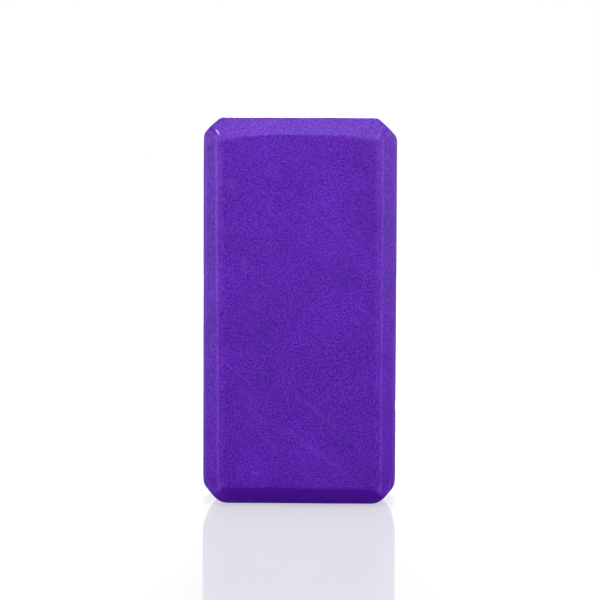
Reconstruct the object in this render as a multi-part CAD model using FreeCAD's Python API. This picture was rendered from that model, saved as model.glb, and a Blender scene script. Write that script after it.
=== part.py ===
import FreeCAD, Part
import os

# A yoga block: one brick of closed-cell foam, with all twelve edges bevelled and softened.
# It stands on an end. +Z runs up its length, +X across its broad faces and +Y through its thickness.
# The origin is the middle of the end that it stands on. Sizes are in millimetres.

# Overall size of the brick
BLOCK_LENGTH = 220.0
BLOCK_WIDTH = 110.0
BLOCK_THICKNESS = 70.0

# Bevels: how far each family of edges is cut back along both of its faces
LONG_EDGE_BEVEL = 10.0  # the four edges that run the length of the brick
END_EDGE_BEVEL = 10.0  # the four edges between the ends and the broad faces
CORNER_EDGE_BEVEL = 10.0  # the four edges between the ends and the narrow sides

# Softening: the radius that rolls each bevel into the faces beside it
LONG_EDGE_ROUND = 7.5
END_EDGE_ROUND = 2.0
CORNER_EDGE_ROUND = 6.0
MITRE_ROUND = 2.0  # the short ridges where two bevels meet at a corner of the brick

X_AXIS = FreeCAD.Vector(1, 0, 0)
Y_AXIS = FreeCAD.Vector(0, 1, 0)
Z_AXIS = FreeCAD.Vector(0, 0, 1)
LOW_CORNER = FreeCAD.Vector(-BLOCK_WIDTH / 2, -BLOCK_THICKNESS / 2, 0)
PARALLEL_SHARE = 0.999  # least cosine at which an edge counts as running along an axis


def runs_along(edge, axis):
    """Whether a straight edge is parallel to an axis."""
    return abs(edge.tangentAt(edge.FirstParameter).dot(axis)) > PARALLEL_SHARE


def bevelled_along(axis, bevel):
    """The brick's full box, with only its four edges along one axis bevelled."""
    box = Part.makeBox(BLOCK_WIDTH, BLOCK_THICKNESS, BLOCK_LENGTH, LOW_CORNER)
    return box.makeChamfer(bevel, [edge for edge in box.Edges if runs_along(edge, axis)])


def mitred_block():
    """The brick with sharp bevels, which meet three at a time in a mitre at each corner.

    Every family of edges is cut straight through, so the brick is what the three cuts leave in common.
    """
    block = bevelled_along(Z_AXIS, LONG_EDGE_BEVEL)
    block = block.common(bevelled_along(X_AXIS, END_EDGE_BEVEL))
    block = block.common(bevelled_along(Y_AXIS, CORNER_EDGE_BEVEL))
    return block.removeSplitter().Solids[0]


def softening_radius(edge):
    """Radius for one edge of the mitred brick, by the way that it runs."""
    if runs_along(edge, Z_AXIS):
        return LONG_EDGE_ROUND
    if runs_along(edge, X_AXIS):
        return END_EDGE_ROUND
    if runs_along(edge, Y_AXIS):
        return CORNER_EDGE_ROUND
    return MITRE_ROUND


def foam_block():
    """The finished brick: every edge of the mitred brick rolled over, the long edges most."""
    document = FreeCAD.newDocument("foam_block")
    sharp = document.addObject("Part::Feature", "sharp_block")
    sharp.Shape = mitred_block()
    soft = document.addObject("Part::Fillet", "soft_block")
    soft.Base = sharp
    radii = [softening_radius(edge) for edge in sharp.Shape.Edges]
    soft.Edges = [(number, radius, radius) for number, radius in enumerate(radii, start=1)]
    document.recompute()
    return soft.Shape.Solids[0]


def main():
    """Build the brick and write it as its own STEP file."""
    os.makedirs("parts", exist_ok=True)
    block = foam_block()
    if not block.isValid():
        raise ValueError("the brick is not a valid solid")
    block.exportStep("parts/foam_block.step")
    print("foam_block", round(block.Volume), "mm3,", block.BoundBox)


main()
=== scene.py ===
"""The looks of a foam yoga block, made around its packed solid.

The file is laid out as an add-on and is run as a script. The sidebar panel lists its sizes and colours,
one operator makes the block and one makes the studio around it. Lengths are in metres and +Z is up.
"""

import math

import bpy
from bpy.props import FloatProperty, FloatVectorProperty, IntProperty, PointerProperty
from mathutils import Euler, Matrix, Vector


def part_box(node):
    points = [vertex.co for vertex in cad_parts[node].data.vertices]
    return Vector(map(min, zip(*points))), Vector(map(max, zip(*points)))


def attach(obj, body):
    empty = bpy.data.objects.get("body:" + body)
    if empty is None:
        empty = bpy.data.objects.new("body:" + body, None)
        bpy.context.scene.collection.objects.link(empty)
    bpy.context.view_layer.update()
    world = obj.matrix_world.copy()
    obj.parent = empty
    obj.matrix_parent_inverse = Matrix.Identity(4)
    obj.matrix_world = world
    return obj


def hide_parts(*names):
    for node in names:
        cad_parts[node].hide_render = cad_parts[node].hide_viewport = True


bl_info = {
    "name": "Foam Yoga Block",
    "version": (1, 0, 0),
    "blender": (4, 5, 0),
    "location": "3D View > Sidebar > Yoga Block",
    "description": "Makes a bevelled block of violet foam and a plain studio to show it in",
    "category": "Add Mesh",
}

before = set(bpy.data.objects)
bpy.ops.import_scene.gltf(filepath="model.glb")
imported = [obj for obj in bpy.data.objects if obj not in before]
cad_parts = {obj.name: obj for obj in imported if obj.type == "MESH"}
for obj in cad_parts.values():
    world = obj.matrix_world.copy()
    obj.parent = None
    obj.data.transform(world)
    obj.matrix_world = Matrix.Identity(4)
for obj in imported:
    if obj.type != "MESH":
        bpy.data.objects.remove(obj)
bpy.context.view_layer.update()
BLOCK_LOW, BLOCK_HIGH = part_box("foam_block")
BLOCK_SIZE = BLOCK_HIGH - BLOCK_LOW
BLOCK_MIDDLE = (BLOCK_LOW + BLOCK_HIGH) / 2


def length(name, description, default):
    """A property that holds a length."""
    return FloatProperty(
        name=name, description=description, default=default, min=0.0, precision=5, unit="LENGTH"
    )


def share(name, description, default):
    """A property that holds a plain number of about one or less."""
    return FloatProperty(
        name=name, description=description, default=default, min=0.0, precision=3, subtype="FACTOR"
    )


def colour(name, description, default):
    """A property that holds a colour in linear light."""
    return FloatVectorProperty(
        name=name, description=description, default=default, size=3, min=0.0, max=1.0, subtype="COLOR"
    )


def angle(name, description, degrees):
    """A property that holds an angle, given here in degrees."""
    radians = math.radians(degrees)
    return FloatProperty(
        name=name, description=description, default=radians, subtype="ANGLE", unit="ROTATION"
    )


def power(name, description, default):
    """A property that holds a lamp's power in watts."""
    return FloatProperty(name=name, description=description, default=default, min=0.0, unit="POWER")


class FoamBlockShape(bpy.types.PropertyGroup):
    """Sizes of the block and of what use has done to it."""

    size: FloatVectorProperty(
        name="Size",
        description="Width, thickness and length of the block",
        default=BLOCK_SIZE,
        subtype="XYZ_LENGTH",
        unit="LENGTH",
    )
    long_bevel: length("Long bevel", "Set-back of the bevels along the length", 0.010)
    end_bevel: length("End bevel", "Set-back of the bevels between the ends and the broad faces", 0.010)
    corner_bevel: length("Corner bevel", "Set-back of the bevels between the ends and the sides", 0.010)
    long_round: length("Long round", "Radius that rolls the long bevels into their faces", 0.0075)
    end_round: length("End round", "Radius that rolls the end bevels into their faces", 0.002)
    corner_round: length("Corner round", "Radius that rolls the corner bevels into their faces", 0.006)
    mitre_round: length("Mitre round", "Radius of the short ridges where two bevels meet", 0.0015)
    base_wear: share("Base wear", "How much rounder the corners of the end on the floor are", 0.6)
    waver: length("Waver", "How far the cut of the bevels wanders along an edge", 0.0005)
    lean: length("Lean", "How much the left long bevels narrow from the middle to the top", 0.0009)
    flare: length("Flare", "How much wider the long bevels are where they meet the base", 0.0024)
    top_cut: length("Top cut", "How much deeper the end bevels at the top are cut", 0.0011)
    bow: length("Bow", "How much deeper still the top end bevels are at their ends", 0.0004)
    corner_cut: length("Corner cut", "How much deeper the corner bevel at the top right is cut", 0.0013)
    tilt: length("Tilt", "How much the bevels round the base deepen from the middle to the left", 0.0005)
    unevenness: length("Unevenness", "Height of the slow swells of the cut faces", 0.00025)
    dents: FloatProperty(
        name="Dents", description="Shallow dents for each square metre", default=160.0, min=0.0
    )
    dent_width: length("Dent width", "Radius of a dent", 0.0045)
    dent_depth: length("Dent depth", "Depth of a dent", 0.00022)
    skin_step: length("Skin step", "Spacing of the skin's grid", 0.001)
    seed: IntProperty(name="Seed", description="Places the dents", default=7)


class FoamFinish(bpy.types.PropertyGroup):
    """Colours and surface of the foam."""

    dark_grain: colour("Dark grain", "Colour of the darkest grains of the foam", (0.047, 0.000, 0.302))
    pale_grain: colour("Pale grain", "Colour of the palest grains of the foam", (0.138, 0.022, 0.468))
    # The ridges' colour is part rub and part painted highlight
    ridge: colour("Ridge", "Paler colour of the rubbed ridges", (0.195, 0.062, 0.515))
    rub_and_highlight: share("Rub", "How much of the paler colour the long ridges show", 1.0)
    # Painted highlight on the faces' upper corners
    corner_painted_highlight: share("Corner rub", "How much of it the upper corners of the faces show", 0.6)
    # Painted shade on the end bevels at the base
    base_bevel_painted_shade: colour("Base bevel", "Deep colour of the end bevels at the base", (0.086, 0.000, 0.395))
    # Painted glint on the mitres
    glint: colour("Glint", "Colour of the mitres where they are rubbed most", (0.58, 0.36, 0.92))
    sanding: share("Sanding", "How much of their grain the bevels have lost", 0.2)
    scuff: colour("Scuff", "Pale colour of smudges and streaks", (0.22, 0.10, 0.50))
    scuffing: share("Scuffing", "How much of the pale colour smudges and streaks show", 0.09)
    grain_size: length("Grain size", "Size of the grains of the cut foam", 0.0009)
    cell_size: length("Cell size", "Size of the cells that the cut has opened", 0.0013)
    mottle_size: length("Mottle size", "Size of the cloudy patches of tone", 0.022)
    mottle_tone: share("Mottle tone", "Change of tone from patch to patch", 0.14)
    # Strength of the painted light in the faces' upper middle and the painted shade at their sides near the
    # base
    face_painted_light: share("Handling", "Change of tone between handled and fresh parts of a face", 0.12)
    relief: length("Relief", "Height of the grain", 0.00018)
    roughness: share("Roughness", "Middle roughness of the foam", 0.39)
    gloss: share("Gloss", "Specular level of the foam", 0.062)


class StudioStage(bpy.types.PropertyGroup):
    """The floor, the light and the camera."""

    floor: colour("Floor", "Colour of the floor", (0.30, 0.31, 0.31))
    floor_glow: share("Floor glow", "White that the floor shows beside its own colour", 0.505)
    floor_roughness: share("Floor roughness", "Roughness of the floor's polish", 0.04)
    floor_gloss: share("Floor gloss", "Specular level of the floor's polish", 0.045)
    ambient: share("Ambient", "Strength of the light from all round", 0.20)
    overhead: power("Overhead", "Power of the softbox above", 4.9)
    front: power("Front", "Power of the softbox in front", 21.5)
    left: power("Left", "Power of the softbox on the left", 3.4)
    right: power("Right", "Power of the softbox on the right", 2.8)
    rear: power("Rear", "Power of the softbox behind", 27.0)
    camera: FloatVectorProperty(
        name="Camera",
        description="Place of the camera",
        default=(0.0107, -1.0661, 0.1524),
        subtype="XYZ_LENGTH",
        unit="LENGTH",
    )
    pitch: angle("Pitch", "How far the camera looks down", 1.99)
    yaw: angle("Yaw", "How far the camera is turned to the left", 0.58)
    roll: angle("Roll", "How far the camera is tipped to the left", 0.25)
    lens: FloatProperty(
        name="Lens", description="Focal length of the camera in millimetres", default=110.0
    )


class NodeSheet:
    """Adds nodes to a tree, row by row, and wires each one up as it is added."""

    COLUMNS = 8
    COLUMN_WIDTH = 220
    ROW_HEIGHT = 320

    def __init__(self, tree):
        self.tree = tree

    def add(self, kind, wires=None, **settings):
        """Add a node with its settings, and feed its inputs from sockets or plain values."""
        node = self.tree.nodes.new(kind)
        row, column = divmod(len(self.tree.nodes) - 1, self.COLUMNS)
        node.location = (column * self.COLUMN_WIDTH, -row * self.ROW_HEIGHT)
        for name, value in settings.items():
            setattr(node, name, value)
        for key, value in (wires or {}).items():
            self.feed(node.inputs[key], value)
        return node

    def feed(self, socket, value):
        """Link a socket to another, or set its value."""
        if isinstance(value, bpy.types.NodeSocket):
            self.tree.links.new(value, socket)
        else:
            socket.default_value = value

    def math(self, operation, *values, clamp=False):
        """A Math node's result."""
        wires = dict(enumerate(values))
        return self.add("ShaderNodeMath", wires, operation=operation, use_clamp=clamp).outputs[0]

    def product(self, first, *others):
        """Several numbers multiplied."""
        for other in others:
            first = self.math("MULTIPLY", first, other)
        return first

    def vector(self, operation, *values):
        """A Vector Math node's vector."""
        node = self.add("ShaderNodeVectorMath", dict(enumerate(values)), operation=operation)
        return node.outputs["Vector"]

    def scaled(self, vector, factor):
        """A vector times a number."""
        wires = {"Vector": vector, "Scale": factor}
        return self.add("ShaderNodeVectorMath", wires, operation="SCALE").outputs["Vector"]

    def split(self, vector):
        """The three numbers of a vector."""
        return self.add("ShaderNodeSeparateXYZ", {"Vector": vector}).outputs

    def joined(self, x, y, z):
        """A vector of three numbers."""
        return self.add("ShaderNodeCombineXYZ", {"X": x, "Y": y, "Z": z}).outputs["Vector"]

    def ramp(self, value, low, high, to_low=0.0, to_high=1.0, smooth=False):
        """A value carried from one range to another and held there."""
        wires = {"Value": value, "From Min": low, "From Max": high, "To Min": to_low, "To Max": to_high}
        kind = "SMOOTHSTEP" if smooth else "LINEAR"
        return self.add("ShaderNodeMapRange", wires, interpolation_type=kind).outputs["Result"]

    def mixed(self, factor, first, second):
        """One colour blended into another."""
        wires = {0: factor, 6: first, 7: second}
        return self.add("ShaderNodeMix", wires, data_type="RGBA").outputs[2]

    def noise(self, coordinates, size, detail=2.0, output="Fac"):
        """Noise whose lumps are about one size across."""
        wires = {"Vector": coordinates, "Scale": 1 / size, "Detail": detail}
        return self.add("ShaderNodeTexNoise", wires).outputs[output]

    def moved(self, geometry, **wires):
        """Geometry with its points at a new position or moved by an offset."""
        wires["Geometry"] = geometry
        return self.add("GeometryNodeSetPosition", wires).outputs["Geometry"]


def cleared_sheet(owner):
    """A sheet for the emptied node tree of a material or a world."""
    owner.use_nodes = True
    owner.node_tree.nodes.clear()
    return NodeSheet(owner.node_tree)


def new_geometry_tree(name, inputs, outputs):
    """An empty geometry tree with named inputs and outputs, each given as a name and a socket kind."""
    tree = bpy.data.node_groups.new(name, "GeometryNodeTree")
    for title, kind in inputs:
        tree.interface.new_socket(title, in_out="INPUT", socket_type="NodeSocket" + kind)
    for title, kind in outputs:
        tree.interface.new_socket(title, in_out="OUTPUT", socket_type="NodeSocket" + kind)
    return tree


def bevel_planes(sheet, point, half, bevels):
    """How far a point lies outside the three bevels round a corner, and outside the faces beside each.

    The bevels and both results hold three numbers, for the long, the end and the corner edges.
    """
    over = sheet.vector("SUBTRACT", sheet.vector("ABSOLUTE", point), half)
    x, y, z = sheet.split(over)
    turned = sheet.joined(y, z, x)
    summed = sheet.vector("ADD", sheet.vector("ADD", over, turned), bevels)
    slants = sheet.split(sheet.scaled(summed, math.sqrt(0.5)))
    faces = sheet.split(sheet.vector("MAXIMUM", over, turned))
    return slants, faces


FORM_INPUTS = [
    ("Point", "Vector"),
    ("Half", "Vector"),
    ("Bevels", "Vector"),
    ("Blends", "Vector"),
    ("Mitre", "Float"),
]


def bevelled_form_tree():
    """How far a point lies outside a block whose edges are bevelled and rolled over."""
    tree = new_geometry_tree("bevelled_form", FORM_INPUTS, [("Distance", "Float")])
    sheet = NodeSheet(tree)
    given = sheet.add("NodeGroupInput").outputs
    slants, faces = bevel_planes(sheet, given["Point"], given["Half"], given["Bevels"])
    blends = sheet.split(given["Blends"])
    distance = sheet.math("SMOOTH_MAX", slants[0], slants[1], given["Mitre"])
    for first, second in ((1, 2), (2, 0)):
        mitre = sheet.math("SMOOTH_MAX", slants[first], slants[second], given["Mitre"])
        distance = sheet.math("MAXIMUM", distance, mitre)
    for slant, face, blend in zip(slants, faces, blends):
        rolled = sheet.math("SMOOTH_MAX", slant, face, blend)
        distance = sheet.math("MAXIMUM", distance, rolled)
    sheet.add("NodeGroupOutput", {"Distance": distance})
    return tree


BLOCK_INPUTS = [
    ("Size", "Vector"),
    ("Bevels", "Vector"),
    ("Rounds", "Vector"),
    ("Mitre round", "Float"),
    ("Base wear", "Float"),
    ("Waver", "Float"),
    ("Lean", "Float"),
    ("Flare", "Float"),
    ("Top cut", "Float"),
    ("Bow", "Float"),
    ("Corner cut", "Float"),
    ("Tilt", "Float"),
    ("Unevenness", "Float"),
    ("Dents", "Float"),
    ("Dent width", "Float"),
    ("Dent depth", "Float"),
    ("Skin step", "Float"),
    ("Seed", "Int"),
    ("Foam", "Material"),
]
# The skin's grid is bent by this much of a sine, which crowds its lines towards the edges
CROWDING = 1.2
# The long bevels flare between these heights, as shares of the half length from the middle
FLARE_HEIGHTS = (-0.80, -0.95)
# The corner cut at the base, as a share of that at the top
BASE_CORNER_CUT = 0.4
WAVER_LENGTH = 0.040
# A smooth maximum lies a sixth of its blend above two equal values, so these give the blend whose
# sag equals that of a fillet of radius 1, where a bevel meets a face and where two bevels meet
FACE_BLEND_SHARE = 6 * (1 - math.cos(math.radians(45) / 2))
MITRE_BLEND_SHARE = 6 * (1 - math.cos(math.radians(60) / 2))
# Roundness of the end edges at the base, beside 1 at the top, and what the top ones gain at their ends
BASE_END_ROUND = 0.5
TOP_END_GAIN = 1.5
# The mitres grow rounder with this power of the wear
MITRE_WEAR_POWER = 1.5
# The grid sinks towards an inner core that is smaller than the block by this many bevels
CORE_DEPTH_SHARE = 1.8
SINK_STEPS = 16
SKIN_BLURS = 1
SWELL_LENGTH = 0.055
RIPPLE_LENGTH = 0.013
# Height of the ripples beside that of the swells
RIPPLE_SHARE = 0.3


def crowded_grid(sheet, given, here, half):
    """A box of grid lines that are crowded towards its edges."""
    steps = sheet.split(sheet.scaled(given["Size"], sheet.math("DIVIDE", 1.0, given["Skin step"])))
    counts = dict(zip(("Vertices X", "Vertices Y", "Vertices Z"), steps))
    grid = sheet.add("GeometryNodeMeshCube", {"Size": given["Size"], **counts}).outputs["Mesh"]
    bent = sheet.vector("SINE", sheet.scaled(sheet.vector("DIVIDE", here, half), CROWDING))
    crowded = sheet.vector("MULTIPLY", sheet.scaled(bent, 1 / math.sin(CROWDING)), half)
    return sheet.moved(grid, Position=crowded)


def cut_bevels(sheet, given, here, across, up):
    """Set-backs of bevels that were cut by hand: they lean, flare, bow, tilt and wander a little."""
    left = sheet.math("LESS_THAN", across, 0.0)
    right = sheet.math("GREATER_THAN", across, 0.0)
    low_end = sheet.math("LESS_THAN", up, 0.0)
    high_end = sheet.math("GREATER_THAN", up, 0.0)
    lean = sheet.product(left, up, -1.0, given["Lean"])
    flare = sheet.ramp(up, *FLARE_HEIGHTS, 0.0, given["Flare"], smooth=True)
    bow = sheet.math("ADD", sheet.product(across, across, given["Bow"]), given["Top cut"])
    bow = sheet.math("MULTIPLY", bow, high_end)
    tilt = sheet.product(across, low_end, given["Tilt"], -1.0)
    corner = sheet.product(right, given["Corner cut"], sheet.ramp(up, -1.0, 1.0, BASE_CORNER_CUT, 1.0))
    long_cut = sheet.math("ADD", lean, flare)
    end_cut = sheet.math("ADD", bow, tilt)
    corner_cut = sheet.math("ADD", corner, tilt)
    drift = sheet.noise(here, WAVER_LENGTH, output="Color")
    drift = sheet.scaled(sheet.vector("SUBTRACT", drift, (0.5, 0.5, 0.5)), given["Waver"])
    change = sheet.vector("ADD", drift, sheet.joined(long_cut, end_cut, corner_cut))
    return sheet.vector("ADD", given["Bevels"], change)


def worn_blends(sheet, given, across, up):
    """Blends of the edges with their faces, and of the mitres, as wear has left them.

    The corners are rounder at the base. The end edges are crisper there, and softer at the top's ends.
    """
    wear = sheet.ramp(up, 1.0, -1.0, 1.0, sheet.math("ADD", 1.0, given["Base wear"]))
    high_end = sheet.math("GREATER_THAN", up, 0.0)
    soft = sheet.product(across, across, high_end, TOP_END_GAIN)
    soft = sheet.math("ADD", sheet.ramp(up, -1.0, 1.0, BASE_END_ROUND, 1.0), soft)
    blends = sheet.scaled(given["Rounds"], FACE_BLEND_SHARE)
    blends = sheet.vector("MULTIPLY", blends, sheet.joined(1.0, soft, wear))
    worn = sheet.math("POWER", wear, MITRE_WEAR_POWER)
    mitre = sheet.product(given["Mitre round"], MITRE_BLEND_SHARE, worn)
    return blends, mitre


def sunk_skin(sheet, given, skin, here, half, distance):
    """The grid with each point sunk towards the core until it meets the form."""
    core_half = sheet.vector("SUBTRACT", half, sheet.scaled(given["Bevels"], CORE_DEPTH_SHARE))
    core = sheet.vector("MINIMUM", here, core_half)
    core = sheet.vector("MAXIMUM", core, sheet.scaled(core_half, -1.0))
    outwards = sheet.vector("NORMALIZE", sheet.vector("SUBTRACT", here, core))
    sinking = sheet.scaled(outwards, sheet.math("MULTIPLY", distance, -1.0))
    first = sheet.add("GeometryNodeRepeatInput")
    last = sheet.add("GeometryNodeRepeatOutput")
    first.pair_with_output(last)
    sheet.feed(first.inputs["Iterations"], SINK_STEPS)
    sheet.feed(first.inputs["Geometry"], skin)
    sheet.feed(last.inputs["Geometry"], sheet.moved(first.outputs["Geometry"], Offset=sinking))
    return last.outputs["Geometry"]


def weathered_skin(sheet, given, skin, here):
    """The skin with its grid evened out, and with slow swells, small ripples and dents."""
    blur = sheet.add("GeometryNodeBlurAttribute", {"Iterations": SKIN_BLURS}, data_type="FLOAT_VECTOR")
    sheet.feed(next(s for s in blur.inputs if s.enabled and s.name == "Value"), here)
    skin = sheet.moved(skin, Position=next(s for s in blur.outputs if s.enabled))
    swell = sheet.math("SUBTRACT", sheet.noise(here, SWELL_LENGTH, detail=1.0), 0.5)
    ripple = sheet.math("SUBTRACT", sheet.noise(here, RIPPLE_LENGTH, detail=1.0), 0.5)
    swell = sheet.math("ADD", swell, sheet.math("MULTIPLY", ripple, RIPPLE_SHARE))
    swell = sheet.math("MULTIPLY", swell, given["Unevenness"])
    scatter = {"Mesh": skin, "Density": given["Dents"], "Seed": given["Seed"]}
    marks = sheet.add("GeometryNodeDistributePointsOnFaces", scatter).outputs["Points"]
    near = sheet.add("GeometryNodeProximity", {0: marks}, target_element="POINTS").outputs["Distance"]
    dent = sheet.ramp(near, given["Dent width"], 0.0, smooth=True)
    rise = sheet.math("SUBTRACT", swell, sheet.math("MULTIPLY", dent, given["Dent depth"]))
    normal = sheet.add("GeometryNodeInputNormal").outputs[0]
    return sheet.moved(skin, Offset=sheet.scaled(normal, rise))


def foam_block_tree():
    """The block: a grid on a box, sunk onto the bevelled form, then waved and dented."""
    tree = new_geometry_tree("foam_block", BLOCK_INPUTS, [("Geometry", "Geometry")])
    sheet = NodeSheet(tree)
    given = sheet.add("NodeGroupInput").outputs
    here = sheet.add("GeometryNodeInputPosition").outputs["Position"]
    half = sheet.scaled(given["Size"], 0.5)
    across, _, up = sheet.split(sheet.vector("DIVIDE", here, half))
    bevels = cut_bevels(sheet, given, here, across, up)
    blends, mitre = worn_blends(sheet, given, across, up)
    places = {"Point": here, "Half": half, "Bevels": bevels, "Blends": blends, "Mitre": mitre}
    form = sheet.add("GeometryNodeGroup", places, node_tree=bevelled_form_tree())
    skin = crowded_grid(sheet, given, here, half)
    skin = sunk_skin(sheet, given, skin, here, half, form.outputs["Distance"])

    # The finish finds the ridges by the bevels as they were cut
    named = {"Geometry": skin, "Name": "bevels", "Value": bevels}
    skin = sheet.add("GeometryNodeStoreNamedAttribute", named, data_type="FLOAT_VECTOR").outputs["Geometry"]
    skin = weathered_skin(sheet, given, skin, here)

    # Held inside the block's own box, stood on the floor and finished
    held = sheet.vector("MAXIMUM", sheet.vector("MINIMUM", here, half), sheet.scaled(half, -1.0))
    lift = sheet.joined(0.0, 0.0, sheet.split(half)[2])
    skin = sheet.moved(skin, Position=held, Offset=lift)
    skin = sheet.add("GeometryNodeSetShadeSmooth", {"Geometry": skin}).outputs["Geometry"]
    skin = sheet.add("GeometryNodeRealizeInstances", {"Geometry": skin}).outputs["Geometry"]
    coated = {"Geometry": skin, "Material": given["Foam"]}
    skin = sheet.add("GeometryNodeSetMaterial", coated).outputs["Geometry"]
    sheet.add("NodeGroupOutput", {"Geometry": skin})
    return tree


# Half the range round the middle, as a share of the half size, in which a mask goes over from one side
# or end to the other
MIDDLE_REACH = 0.5
BEVEL_FADE = 0.002
# The end bevels' mask: how far it keeps from the mitres, the rounding of its ends and its soft border
END_INSET = 0.0003
END_ROUND = 0.0060
END_BORDER = (-0.00025, 0.0005)
# A long ridge's core is part rub and part painted highlight, and its shoulder on the face is painted
# highlight
# A long ridge, on the way across its edge: the middle of its core, half the core's width, how far the
# paleness goes on over the bevel, where the shoulder on the face starts and ends to fade, and the fade at a
# mitre
RIDGE_TOP = 0.0014
RIDGE_CORE = 0.0011
RIDGE_BACK = 0.0016
RIDGE_NEAR = 0.0022
RIDGE_FAR = 0.0050
RIDGE_FADE = 0.0018
# Paleness of the shoulders, a painted highlight, beside 1 for the cores: on the left and the right of the
# top, and at the base, with the share of the half length in which it changes
LEFT_SHOULDER = 0.45
RIGHT_SHOULDER = 0.7
BASE_SHOULDER = 0.2
SHOULDER_REACH = 0.7
# Rub and painted highlight of the ridges that lie on the narrow sides, and how it fades over the middle of
# a bevel
SIDE_RUB_AND_HIGHLIGHT = 0.6
SIDE_FADE = 0.002
# The faces' corners with painted highlight: how much farther they reach down at the sides than in the
# middle, and the fade
FACE_ARCH = 0.0062
ARCH_FADE = 0.0024
# Painted highlight on the long bevels beside the upper mitres. It starts at the mitre, and on the right it
# rises on the way across the end edge
BEVEL_PAINTED_HIGHLIGHT = 0.28
RIGHT_BEVEL_PAINTED_HIGHLIGHT = 0.85
BEVEL_PAINTED_HIGHLIGHT_RISE = (-0.001, 0.003)
BEVEL_PAINTED_HIGHLIGHT_START = (-0.0010, 0.0002)
# The painted glint line beside a mitre: half its width, and its shift towards the end bevel at the face's
# corner and at the far end of the glint, or towards the long bevel at the base
MITRE_WIDTH = 0.0008
SOFT_MITRE_WIDTH = 0.0016
MITRE_NEAR_SHIFT = 0.0006
MITRE_FAR_SHIFT = 0.0018
BASE_MITRE_SHIFT = -0.0021
# A glint by its depth below the faces: the range of its shift, where its ends fade, the faint tail beyond
# and how much nearer to the face the one on the right lies
GLINT_SLOPE = (-0.0042, -0.0008)
GLINT_FAR_END = (-0.0042, -0.0030)
GLINT_NEAR_END = (-0.0004, -0.0016)
GLINT_TAIL = 0.1
RIGHT_GLINT_SHIFT = 0.0016
# The line shows where both bevels are about level with the skin, and clear of the corner bevel
MITRE_LEVEL = (-0.0025, -0.001)
CORNER_CLEARANCE = 0.0015


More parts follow.
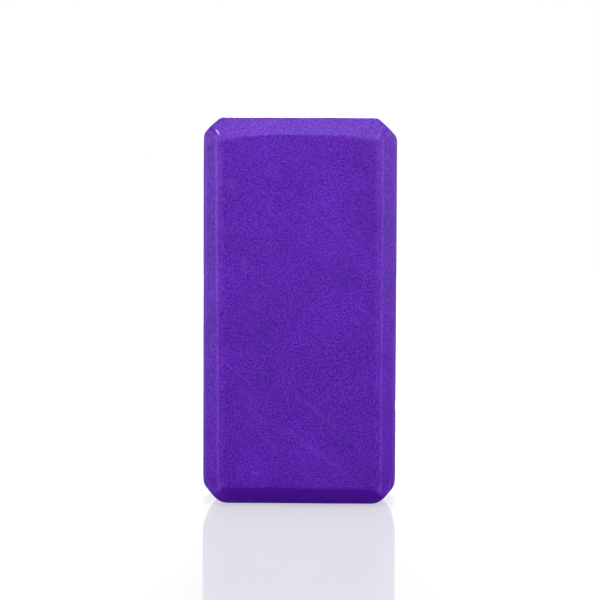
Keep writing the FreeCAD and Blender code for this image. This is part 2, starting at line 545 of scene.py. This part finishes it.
class EdgeMap:
    """Masks in a material, found from where a point lies among the block's edges."""

    def __init__(self, sheet, place, shape):
        half = [side / 2 for side in shape.size]
        self.sheet = sheet
        self.half = half
        self.point = sheet.vector("SUBTRACT", place, (0.0, 0.0, half[2]))
        self.beside, _, self.up = sheet.split(sheet.vector("DIVIDE", self.point, half))
        cut = sheet.add("ShaderNodeAttribute", attribute_name="bevels").outputs["Vector"]
        self.slants, self.faces = bevel_planes(sheet, self.point, half, cut)

        # The ways across the edges, up to zero on a face and on from there over the bevel
        self.ways = []
        for slant, face in zip(self.slants, self.faces):
            way = sheet.math("MULTIPLY", slant, math.sqrt(2))
            self.ways.append(sheet.math("SUBTRACT", way, face))

        # The long ridges run straight on where their bevels flare
        flare = sheet.ramp(self.up, *FLARE_HEIGHTS, 0.0, shape.flare, smooth=True)
        self.ridge = sheet.math("SUBTRACT", self.ways[0], flare)

    def by_height(self, base, top):
        """A value for the base that goes over into one for the top."""
        return self.sheet.ramp(self.up, -MIDDLE_REACH, MIDDLE_REACH, base, top)

    def by_side(self, left, right):
        """A value for the left that goes over into one for the right."""
        return self.sheet.ramp(self.beside, -MIDDLE_REACH, MIDDLE_REACH, left, right)

    def bevels(self):
        """Mask of all the bevels."""
        farthest = self.sheet.math("MAXIMUM", self.ways[1], self.ways[2])
        farthest = self.sheet.math("MAXIMUM", self.ways[0], farthest)
        return self.sheet.ramp(farthest, -BEVEL_FADE, BEVEL_FADE)

    def end_bevels(self):
        """Mask of the bevels between the ends and the broad faces."""
        others = self.sheet.math("MAXIMUM", self.slants[0], self.slants[2])
        clear = self.sheet.math("SUBTRACT", self.slants[1], others)
        clear = self.sheet.math("SUBTRACT", clear, END_INSET)
        inside = self.sheet.math("SMOOTH_MIN", clear, self.ways[1], END_ROUND)
        return self.sheet.ramp(inside, *END_BORDER)

    def long_ridges(self):
        """Mask of the long ridges, each with a thin core and a shoulder on its face."""
        sheet = self.sheet
        rise = sheet.ramp(self.ridge, RIDGE_TOP + RIDGE_BACK, RIDGE_TOP, smooth=True)
        roll = sheet.ramp(self.ridge, RIDGE_TOP - RIDGE_FAR, RIDGE_TOP - RIDGE_NEAR, smooth=True)
        shoulder = sheet.ramp(self.beside, -1.0, 1.0, LEFT_SHOULDER, RIGHT_SHOULDER)
        shoulder = sheet.ramp(self.up, -SHOULDER_REACH, SHOULDER_REACH, BASE_SHOULDER, shoulder)
        core = sheet.math("ABSOLUTE", sheet.math("SUBTRACT", self.ridge, RIDGE_TOP))
        core = sheet.ramp(core, RIDGE_CORE, 0.0, shoulder, 1.0)
        others = sheet.math("MAXIMUM", self.slants[1], self.slants[2])
        apart = sheet.ramp(sheet.math("SUBTRACT", self.slants[0], others), 0.0, RIDGE_FADE)
        x, y, _ = sheet.split(sheet.vector("ABSOLUTE", self.point))
        beyond = sheet.math("SUBTRACT", sheet.math("SUBTRACT", x, y), self.half[0] - self.half[1])
        side = sheet.ramp(beyond, -SIDE_FADE, SIDE_FADE, 1.0, SIDE_RUB_AND_HIGHLIGHT)
        return sheet.product(rise, roll, core, apart, side)

    def face_corners(self):
        """Painted highlight: the faces' ends, which reach lower at the sides, and the long bevels beside
        them.
        """
        sheet = self.sheet
        arch = sheet.product(self.beside, self.beside, FACE_ARCH)
        reach = sheet.ramp(sheet.math("ADD", self.ways[1], arch), 0.0, ARCH_FADE, smooth=True)
        below = sheet.ramp(self.ways[1], ARCH_FADE / 2, 0.0)
        inside = sheet.ramp(self.ridge, RIDGE_TOP, RIDGE_TOP + RIDGE_BACK, 1.0, 0.0)
        face = sheet.math("MULTIPLY", below, inside)
        most = self.by_side(BEVEL_PAINTED_HIGHLIGHT, RIGHT_BEVEL_PAINTED_HIGHLIGHT)
        rub_and_highlight = sheet.ramp(self.ways[1], *BEVEL_PAINTED_HIGHLIGHT_RISE, BEVEL_PAINTED_HIGHLIGHT, most)
        past = sheet.math("SUBTRACT", self.slants[0], self.slants[1])
        bevel = sheet.ramp(past, *BEVEL_PAINTED_HIGHLIGHT_START, 0.0, rub_and_highlight)
        return sheet.math("MULTIPLY", reach, sheet.math("MAXIMUM", face, bevel))

    def mitres(self):
        """Mask of the painted glint line beside each mitre, where a long bevel and an end bevel are level.
        """
        sheet = self.sheet
        inwards = self.by_height(0.0, self.by_side(0.0, RIGHT_GLINT_SHIFT))
        depth = sheet.math("SUBTRACT", sheet.math("MAXIMUM", self.faces[0], self.faces[1]), inwards)
        shift = sheet.ramp(depth, *GLINT_SLOPE, MITRE_FAR_SHIFT, MITRE_NEAR_SHIFT)
        shift = self.by_height(BASE_MITRE_SHIFT, shift)
        width = self.by_height(SOFT_MITRE_WIDTH, self.by_side(MITRE_WIDTH, SOFT_MITRE_WIDTH))
        gap = sheet.math("SUBTRACT", sheet.math("SUBTRACT", self.slants[1], self.slants[0]), shift)
        line = sheet.ramp(sheet.math("ABSOLUTE", gap), width, 0.0, smooth=True)
        lower = sheet.math("MINIMUM", self.slants[0], self.slants[1])
        level = sheet.ramp(lower, *MITRE_LEVEL)
        clear = sheet.ramp(sheet.math("SUBTRACT", lower, self.slants[2]), 0.0, CORNER_CLEARANCE)
        far = sheet.ramp(depth, *GLINT_FAR_END, GLINT_TAIL, 1.0)
        near = sheet.ramp(depth, *GLINT_NEAR_END)
        return sheet.product(line, level, clear, far, near)


# Ranges of the noises, from the value that gives the least of an effect to the one that gives the most
GRAIN_RANGE = (0.34, 0.66)
CLOUD_RANGE = (0.25, 0.75)
SMUDGE_RANGE = (0.60, 0.78)
STREAK_RANGE = (0.60, 0.80)
WORN_RANGE = (0.35, 0.65)
PALE_RANGE = (0.28, 0.72)
POLISH_RANGE = (0.3, 0.7)
PORE_RANGE = (0.80, 0.85)
# Heights, as shares of the length, where an effect starts and where it is whole
# The first two are the heights of the painted light in the faces' upper middle and of the painted shade at
# their sides near the base
PAINTED_LIGHT_HEIGHTS = (0.60, 0.85)
PAINTED_SHADE_HEIGHTS = (0.34, 0.14)
RUB_AND_HIGHLIGHT_HEIGHTS = (0.15, 0.85)
CORNER_HEIGHTS = (0.4, 0.9)
BASE_LINE_HEIGHTS = (0.3, 0.1)
# The middle of a face ends and its sides start between these shares of the half width, and painted light
# pales the middle by this share
SIDE_START = (0.35, 0.75)
PAINTED_LIGHT_SHARE = 0.6
# How much of the painted shade, a deep colour without green, the end bevels at the base show
BASE_PAINTED_SHADE = 0.8
# Size of the smudges, and size and slope of the streaks
SMUDGE_SIZE = 0.016
STREAK_SIZE = (0.06, 0.06, 0.003)
STREAK_TURN = 0.7
# Scuffs on the front face: middle across and up, reach across and up, turn, and how much they show
SCUFF_MARKS = (
    ((-0.031, 0.137), (0.0030, 0.0070), 0.0, 0.14),
    ((-0.038, 0.181), (0.0045, 0.0045), 0.0, 0.09),
    ((-0.0245, 0.0185), (0.0045, 0.0010), 0.15, 0.25),
    ((0.010, 0.031), (0.034, 0.0028), 0.63, 0.09),
)
# A mark is whole up to this share of its reach, and its mask is deep enough to cross the whole block
SCUFF_CORE = 0.2
SCUFF_DEPTH = 1000.0
# Rub and painted highlight on the right of the top and at the base, beside 1 at the top left, and its least
# in patches
RIGHT_RUB_AND_HIGHLIGHT = 0.62
BASE_RUB_AND_HIGHLIGHT = 0.50
LEAST_RUB_AND_HIGHLIGHT = 0.7
# Upper mitres show the painted glint from this much ridge paleness on, and those at the base this much of
# it
GLINT_THRESHOLD = 0.60
BASE_GLINT = 0.11
# Tone of the paler ridges and corners, rub and painted highlight, from grain to grain
PALE_TONES = (0.75, 1.25)
# Spacing and radius of the places for pores, and the painted shade in the middle of an open one
PORE_SPACING = 0.011
PORE_WIDTH = 0.0005
PORE_PAINTED_SHADE = 0.35
# Heights of the cells and pores beside that of the grain, and what is left of the relief on the bevels
CELL_RELIEF = 0.6
PORE_RELIEF = 2.0
BEVEL_RELIEF = 0.5
# Change of roughness from grain to grain, and how much smoother a rubbed ridge is
POLISH_SPREAD = 0.08
RUB_POLISH = 0.12


def painted_face_tone(sheet, finish, across, height, bevel):
    """Painted light and shade on the faces: paler in the upper middle, deeper at the sides near the base.
    """
    aside = sheet.math("MULTIPLY", sheet.math("ABSOLUTE", across), 2.0)
    aside = sheet.ramp(aside, *SIDE_START, smooth=True)
    middle = sheet.math("SUBTRACT", PAINTED_LIGHT_SHARE, aside, clamp=True)
    paler = sheet.product(sheet.ramp(height, *PAINTED_LIGHT_HEIGHTS), finish.face_painted_light, middle)
    deeper = sheet.product(sheet.ramp(height, *PAINTED_SHADE_HEIGHTS), finish.face_painted_light, aside)
    change = sheet.math("SUBTRACT", paler, deeper)
    change = sheet.math("MULTIPLY", change, sheet.math("SUBTRACT", 1.0, bevel))
    return sheet.math("ADD", 1.0, change)


def face_mark(sheet, place, middle, reach, turn):
    """Mask of a soft oval on the broad faces, as wide and high as its reach both ways."""
    wires = {
        "Vector": place,
        "Location": (middle[0], 0.0, middle[1]),
        "Rotation": (0.0, turn, 0.0),
        "Scale": (reach[0], SCUFF_DEPTH, reach[1]),
    }
    spot = sheet.add("ShaderNodeMapping", wires, vector_type="TEXTURE").outputs["Vector"]
    away = sheet.add("ShaderNodeVectorMath", {0: spot}, operation="LENGTH").outputs["Value"]
    return sheet.ramp(away, 1.0, SCUFF_CORE, smooth=True)


def scuff_mask(sheet, finish, place, through):
    """Mask of pale scuffs: soft smudges, faint streaks where something was drawn across, and marks."""
    smudge = sheet.ramp(sheet.noise(place, SMUDGE_SIZE), *SMUDGE_RANGE)
    slope = {"Vector": place, "Rotation": (0.0, STREAK_TURN, 0.0), "Scale": STREAK_SIZE}
    slope = sheet.add("ShaderNodeMapping", slope, vector_type="TEXTURE").outputs["Vector"]
    streak = sheet.ramp(sheet.noise(slope, 1.0, detail=1.0), *STREAK_RANGE)
    scuff = sheet.math("MULTIPLY", sheet.math("MAXIMUM", smudge, streak), finish.scuffing)
    front = sheet.math("LESS_THAN", through, 0.0)
    for middle, reach, turn, strength in SCUFF_MARKS:
        mark = sheet.product(face_mark(sheet, place, middle, reach, turn), front, strength)
        scuff = sheet.math("MAXIMUM", scuff, mark)
    return scuff


def open_pores(sheet, place):
    """Mask of a few open pores."""
    pores = sheet.add("ShaderNodeTexVoronoi", {"Vector": place, "Scale": 1 / PORE_SPACING}).outputs
    hole = sheet.ramp(pores["Distance"], PORE_WIDTH / PORE_SPACING, 0.0, smooth=True)
    chosen = sheet.ramp(sheet.split(pores["Color"])[0], *PORE_RANGE)
    return sheet.math("MULTIPLY", hole, chosen)


def violet_foam(finish, shape):
    """Cut closed-cell foam: fine grain, open cells, cloudy tone, and ridges part rubbed and part painted
    highlight.
    """
    material = bpy.data.materials.new("cut_violet_foam")
    sheet = cleared_sheet(material)
    place = sheet.add("ShaderNodeTexCoord").outputs["Object"]
    across, through, height = sheet.split(sheet.vector("DIVIDE", place, shape.size))
    grain = sheet.noise(place, finish.grain_size, detail=1.0)
    patch = sheet.noise(place, finish.mottle_size, detail=3.0)
    edges = EdgeMap(sheet, place, shape)
    bevel = edges.bevels()

    # Tone of the grain, which is weaker on the sanded bevels, of the cloudy patches, and painted light and
    # shade on the faces
    lost = sheet.math("MULTIPLY", bevel, finish.sanding / 2)
    speckle = sheet.ramp(grain, *GRAIN_RANGE, lost, sheet.math("SUBTRACT", 1.0, lost))
    shade = sheet.mixed(speckle, (*finish.dark_grain, 1.0), (*finish.pale_grain, 1.0))
    cloud = sheet.ramp(patch, *CLOUD_RANGE, 1.0 - finish.mottle_tone, 1.0 + finish.mottle_tone)
    shade = sheet.scaled(shade, cloud)
    shade = sheet.scaled(shade, painted_face_tone(sheet, finish, across, height, bevel))

    # Painted shade: the end bevels at the base, which face the floor, take a deep colour without green
    painted_base_shade = sheet.product(edges.end_bevels(), sheet.math("LESS_THAN", height, 0.5), BASE_PAINTED_SHADE)
    shade = sheet.mixed(painted_base_shade, shade, (*finish.base_bevel_painted_shade, 1.0))
    shade = sheet.mixed(scuff_mask(sheet, finish, place, through), shade, (*finish.scuff, 1.0))

    # Paler ridges, corners and mitres, most on the left of the top: part rub, part painted highlight and
    # glint
    most = sheet.ramp(across, -0.5, 0.5, 1.0, RIGHT_RUB_AND_HIGHLIGHT)
    held = sheet.ramp(height, *RUB_AND_HIGHLIGHT_HEIGHTS, BASE_RUB_AND_HIGHLIGHT, most)
    worn = sheet.ramp(patch, *WORN_RANGE, LEAST_RUB_AND_HIGHLIGHT, 1.0)
    long_ridge = sheet.product(edges.long_ridges(), worn, held, finish.rub_and_highlight)
    # Painted highlight on the faces' upper corners, where the end edge rolls into the face
    upper = sheet.ramp(height, *CORNER_HEIGHTS, 0.0, finish.corner_painted_highlight)
    corner = sheet.math("MULTIPLY", edges.face_corners(), upper)
    pale = sheet.scaled(sheet.joined(*finish.ridge), sheet.ramp(grain, *PALE_RANGE, *PALE_TONES))
    shade = sheet.mixed(sheet.math("MAXIMUM", long_ridge, corner), shade, pale)
    # Painted glint on the mitres
    top_glint = sheet.ramp(held, GLINT_THRESHOLD, 1.0)
    base_glint = sheet.ramp(height, *BASE_LINE_HEIGHTS, 0.0, BASE_GLINT)
    mitre = sheet.math("MULTIPLY", edges.mitres(), sheet.math("MAXIMUM", top_glint, base_glint))
    shade = sheet.mixed(mitre, shade, (*finish.glint, 1.0))
    hole = open_pores(sheet, place)
    # Painted shade in the middle of each open pore
    shade = sheet.scaled(shade, sheet.ramp(hole, 0.0, 1.0, 1.0, PORE_PAINTED_SHADE))

    # Relief and polish
    cells = {"Vector": place, "Scale": 1 / finish.cell_size}
    cells = sheet.add("ShaderNodeTexVoronoi", cells).outputs["Distance"]
    relief = sheet.math("ADD", grain, sheet.math("MULTIPLY", cells, CELL_RELIEF))
    relief = sheet.math("MULTIPLY", relief, sheet.ramp(bevel, 0.0, 1.0, 1.0, BEVEL_RELIEF))
    relief = sheet.math("SUBTRACT", relief, sheet.math("MULTIPLY", hole, PORE_RELIEF))
    bump = {"Strength": 1.0, "Distance": finish.relief, "Height": relief}
    bump = sheet.add("ShaderNodeBump", bump).outputs["Normal"]
    dullest = finish.roughness + POLISH_SPREAD
    smoothest = finish.roughness - POLISH_SPREAD
    rough = sheet.ramp(grain, *POLISH_RANGE, dullest, smoothest)
    rubbed = sheet.math("MAXIMUM", long_ridge, mitre)
    rough = sheet.math("SUBTRACT", rough, sheet.math("MULTIPLY", rubbed, RUB_POLISH))
    surface = {
        "Base Color": shade,
        "Roughness": rough,
        "Specular IOR Level": finish.gloss,
        "Normal": bump,
    }
    surface = sheet.add("ShaderNodeBsdfPrincipled", surface).outputs["BSDF"]
    sheet.add("ShaderNodeOutputMaterial", {"Surface": surface})
    return material


def linked(name, data):
    """A new object in the scene's own collection."""
    made = bpy.data.objects.new(name, data)
    bpy.context.scene.collection.objects.link(made)
    return made


def apply_tree(made, tree, values):
    """Run a geometry tree on an object, keep the result as its plain mesh and drop the modifier."""
    modifier = made.modifiers.new(tree.name, "NODES")
    modifier.node_group = tree
    sockets = {s.name: s.identifier for s in tree.interface.items_tree if s.in_out == "INPUT"}
    for title, value in values.items():
        modifier[sockets[title]] = value
    made.update_tag()
    graph = bpy.context.evaluated_depsgraph_get()
    mesh = bpy.data.meshes.new_from_object(made.evaluated_get(graph), depsgraph=graph)
    for number in reversed(range(len(mesh.materials))):
        if mesh.materials[number] is None:
            mesh.materials.pop(index=number)
    made.modifiers.clear()
    made.data = mesh
    mesh.name = made.name


class YOGA_OT_foam_block(bpy.types.Operator):
    """Make the foam block and its finish."""

    bl_idname = "yoga.foam_block"
    bl_label = "Foam block"
    bl_options = {"REGISTER", "UNDO"}

    def execute(self, context):
        shape = context.scene.foam_block_shape
        foam = violet_foam(context.scene.foam_finish, shape)
        block = linked("foam_block_skin", bpy.data.meshes.new("foam_block_skin"))
        values = {
            "Size": shape.size,
            "Bevels": (shape.long_bevel, shape.end_bevel, shape.corner_bevel),
            "Rounds": (shape.long_round, shape.end_round, shape.corner_round),
            "Mitre round": shape.mitre_round,
            "Base wear": shape.base_wear,
            "Waver": shape.waver,
            "Lean": shape.lean,
            "Flare": shape.flare,
            "Top cut": shape.top_cut,
            "Bow": shape.bow,
            "Corner cut": shape.corner_cut,
            "Tilt": shape.tilt,
            "Unevenness": shape.unevenness,
            "Dents": shape.dents,
            "Dent width": shape.dent_width,
            "Dent depth": shape.dent_depth,
            "Skin step": shape.skin_step,
            "Seed": shape.seed,
            "Foam": foam,
        }
        apply_tree(block, foam_block_tree(), values)
        if not block.data.polygons:
            raise RuntimeError("the block's tree made no mesh")
        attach(block, "root")
        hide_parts("foam_block")
        return {"FINISHED"}


FLOOR_REACH = 6.0
# Each softbox: the stage's name for its power, its place, its width and its height
SOFTBOXES = (
    ("overhead", (0.0, -0.05, 1.05), 0.30, 0.36),
    ("front", (0.0, -1.60, 0.42), 1.4, 1.0),
    ("left", (-0.90, 0.02, 0.25), 0.22, 0.50),
    ("right", (0.90, 0.02, 0.25), 0.16, 0.38),
    ("rear", (0.0, 1.20, 1.00), 0.35, 0.35),
)


def seen_directly(sheet):
    """One for what the camera sees, also in a reflection or through something clear, and zero for light."""
    path = sheet.add("ShaderNodeLightPath").outputs
    seen = sheet.math("MAXIMUM", path["Is Camera Ray"], path["Is Glossy Ray"])
    return sheet.math("MAXIMUM", seen, path["Is Transmission Ray"])


def studio_floor(stage):
    """A wide floor with a pale polish that carries a faint reflection."""
    mesh = bpy.data.meshes.new("studio_floor")
    corners = [(-1, -1), (1, -1), (1, 1), (-1, 1)]
    points = [(x * FLOOR_REACH, y * FLOOR_REACH, 0) for x, y in corners]
    mesh.from_pydata(points, [], [(0, 1, 2, 3)])
    material = bpy.data.materials.new("studio_floor")
    sheet = cleared_sheet(material)
    polish = {
        "Base Color": (*stage.floor, 1.0),
        "Roughness": stage.floor_roughness,
        "Specular IOR Level": stage.floor_gloss,
    }
    polish = sheet.add("ShaderNodeBsdfPrincipled", polish).outputs["BSDF"]
    glow = sheet.math("MULTIPLY", seen_directly(sheet), stage.floor_glow)
    glow = sheet.add("ShaderNodeEmission", {"Strength": glow}).outputs["Emission"]
    both = sheet.add("ShaderNodeAddShader", {0: polish, 1: glow}).outputs["Shader"]
    sheet.add("ShaderNodeOutputMaterial", {"Surface": both})
    mesh.materials.append(material)
    floor = linked("studio_floor", mesh)


def white_surroundings(stage):
    """White to the eye and in reflections, and an even soft light on everything else."""
    world = bpy.data.worlds.new("white_surroundings")
    sheet = cleared_sheet(world)
    white = (1.0, 1.0, 1.0, 1.0)
    light = sheet.add("ShaderNodeBackground", {"Color": white, "Strength": stage.ambient})
    view = sheet.add("ShaderNodeBackground", {"Color": white, "Strength": 1.0})
    wires = {0: seen_directly(sheet), 1: light.outputs["Background"], 2: view.outputs["Background"]}
    both = sheet.add("ShaderNodeMixShader", wires).outputs["Shader"]
    sheet.add("ShaderNodeOutputWorld", {"Surface": both})
    bpy.context.scene.world = world


def softbox(name, watts, place, width, height):
    """A rectangular lamp that faces the middle of the block and stays out of the picture."""
    lamp = bpy.data.lights.new(name, "AREA")
    lamp.shape = "RECTANGLE"
    lamp.size = width
    lamp.size_y = height
    lamp.energy = watts
    made = linked(name, lamp)
    made.location = place
    made.rotation_euler = (BLOCK_MIDDLE - Vector(place)).to_track_quat("-Z", "Y").to_euler()
    made.visible_camera = False


def studio_camera(stage):
    """The camera that sees the block as the photograph does."""
    eye = bpy.data.cameras.new("studio_camera")
    eye.lens = stage.lens
    made = linked("studio_camera", eye)
    aim = Euler((math.radians(90) - stage.pitch, 0, stage.yaw)).to_matrix().to_4x4()
    made.matrix_world = Matrix.Translation(stage.camera) @ aim @ Matrix.Rotation(stage.roll, 4, "Z")
    bpy.context.scene.camera = made


class YOGA_OT_studio(bpy.types.Operator):
    """Make the floor, the light and the camera."""

    bl_idname = "yoga.studio"
    bl_label = "Studio"
    bl_options = {"REGISTER", "UNDO"}

    def execute(self, context):
        stage = context.scene.studio_stage
        studio_floor(stage)
        white_surroundings(stage)
        for title, place, width, height in SOFTBOXES:
            softbox(title + "_softbox", getattr(stage, title), place, width, height)
        studio_camera(stage)
        context.scene.view_settings.view_transform = "Standard"
        return {"FINISHED"}


class YOGA_PT_block(bpy.types.Panel):
    """Sizes, colours and operators of the yoga block."""

    bl_label = "Yoga Block"
    bl_idname = "YOGA_PT_block"
    bl_space_type = "VIEW_3D"
    bl_region_type = "UI"
    bl_category = "Yoga Block"

    def draw(self, context):
        for title, group in GROUPS.items():
            box = self.layout.box()
            box.label(text=group.__doc__)
            for name in group.__annotations__:
                box.prop(getattr(context.scene, title), name)
        for operator in OPERATORS:
            self.layout.operator(operator.bl_idname)


GROUPS = {"foam_block_shape": FoamBlockShape, "foam_finish": FoamFinish, "studio_stage": StudioStage}
OPERATORS = (YOGA_OT_foam_block, YOGA_OT_studio)
CLASSES = (*GROUPS.values(), *OPERATORS, YOGA_PT_block)


def register():
    """Add the classes and hang the property groups on the scene."""
    for added in CLASSES:
        bpy.utils.register_class(added)
    for title, group in GROUPS.items():
        setattr(bpy.types.Scene, title, PointerProperty(type=group))


def unregister():
    """Take the property groups and the classes away again."""
    for title in GROUPS:
        delattr(bpy.types.Scene, title)
    for added in reversed(CLASSES):
        bpy.utils.unregister_class(added)


def main():
    """Make the block and the studio."""
    register()
    bpy.ops.yoga.foam_block()
    bpy.ops.yoga.studio()


if __name__ == "__main__":
    main()
